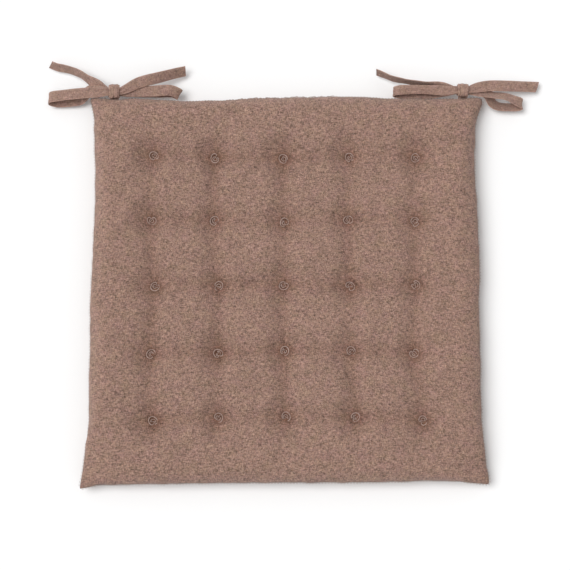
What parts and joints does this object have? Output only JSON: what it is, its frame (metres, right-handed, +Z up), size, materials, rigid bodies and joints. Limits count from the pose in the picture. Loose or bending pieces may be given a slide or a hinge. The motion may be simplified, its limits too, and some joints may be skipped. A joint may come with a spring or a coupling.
{
  "type": "chair seat pad",
  "caption": "Square tufted fabric seat pad for a chair, fibre filled, with flat fabric ties knotted in a bow at each back corner.",
  "frame": {"origin": "centre of the underside, on the surface that the pad rests on", "axes": "+X to the right, +Y towards the back edge with the ties, +Z up"},
  "size_m": [0.497, 0.4264, 0.036],
  "materials": {
    "cover_cloth": "melange plain weave, matt, brown-mauve",
    "tape_cloth": "melange plain weave strip, folded and topstitched",
    "tufting_yarn": "looped multi-strand yarn",
    "sewing_thread": "spun polyester thread",
    "fibre": "white polyester fibre"
  },
  "bodies": {
    "pad": {"top_cover": "cover_cloth", "bottom_cover": "cover_cloth", "fibre_filling": "fibre", "perimeter_seam_thread": "sewing_thread", "closing_stitches": "sewing_thread", "tuft_rosettes_top": "tufting_yarn", "tuft_yarns": "tufting_yarn", "tuft_rosettes_bottom": "tufting_yarn", "left_tie_root": "tape_cloth", "left_root_bartack": "sewing_thread", "right_tie_root": "tape_cloth", "right_root_bartack": "sewing_thread"},
    "left_bow": {"left_tie_tape_a": "tape_cloth", "left_tie_tape_b": "tape_cloth", "left_knot_turn": "tape_cloth"},
    "right_bow": {"right_tie_tape_a": "tape_cloth", "right_tie_tape_b": "tape_cloth", "right_knot_turn": "tape_cloth"}
  },
  "joints": [
    {"name": "left_tie_swing", "type": "hinge", "parent": "pad", "child": "left_bow", "pos_m": [-0.173, 0.199, 0.016], "axis": [1, 0, 0], "range_deg": [-90, 75]},
    {"name": "right_tie_swing", "type": "hinge", "parent": "pad", "child": "right_bow", "pos_m": [0.179, 0.199, 0.016], "axis": [1, 0, 0], "range_deg": [-90, 75]}
  ]
}
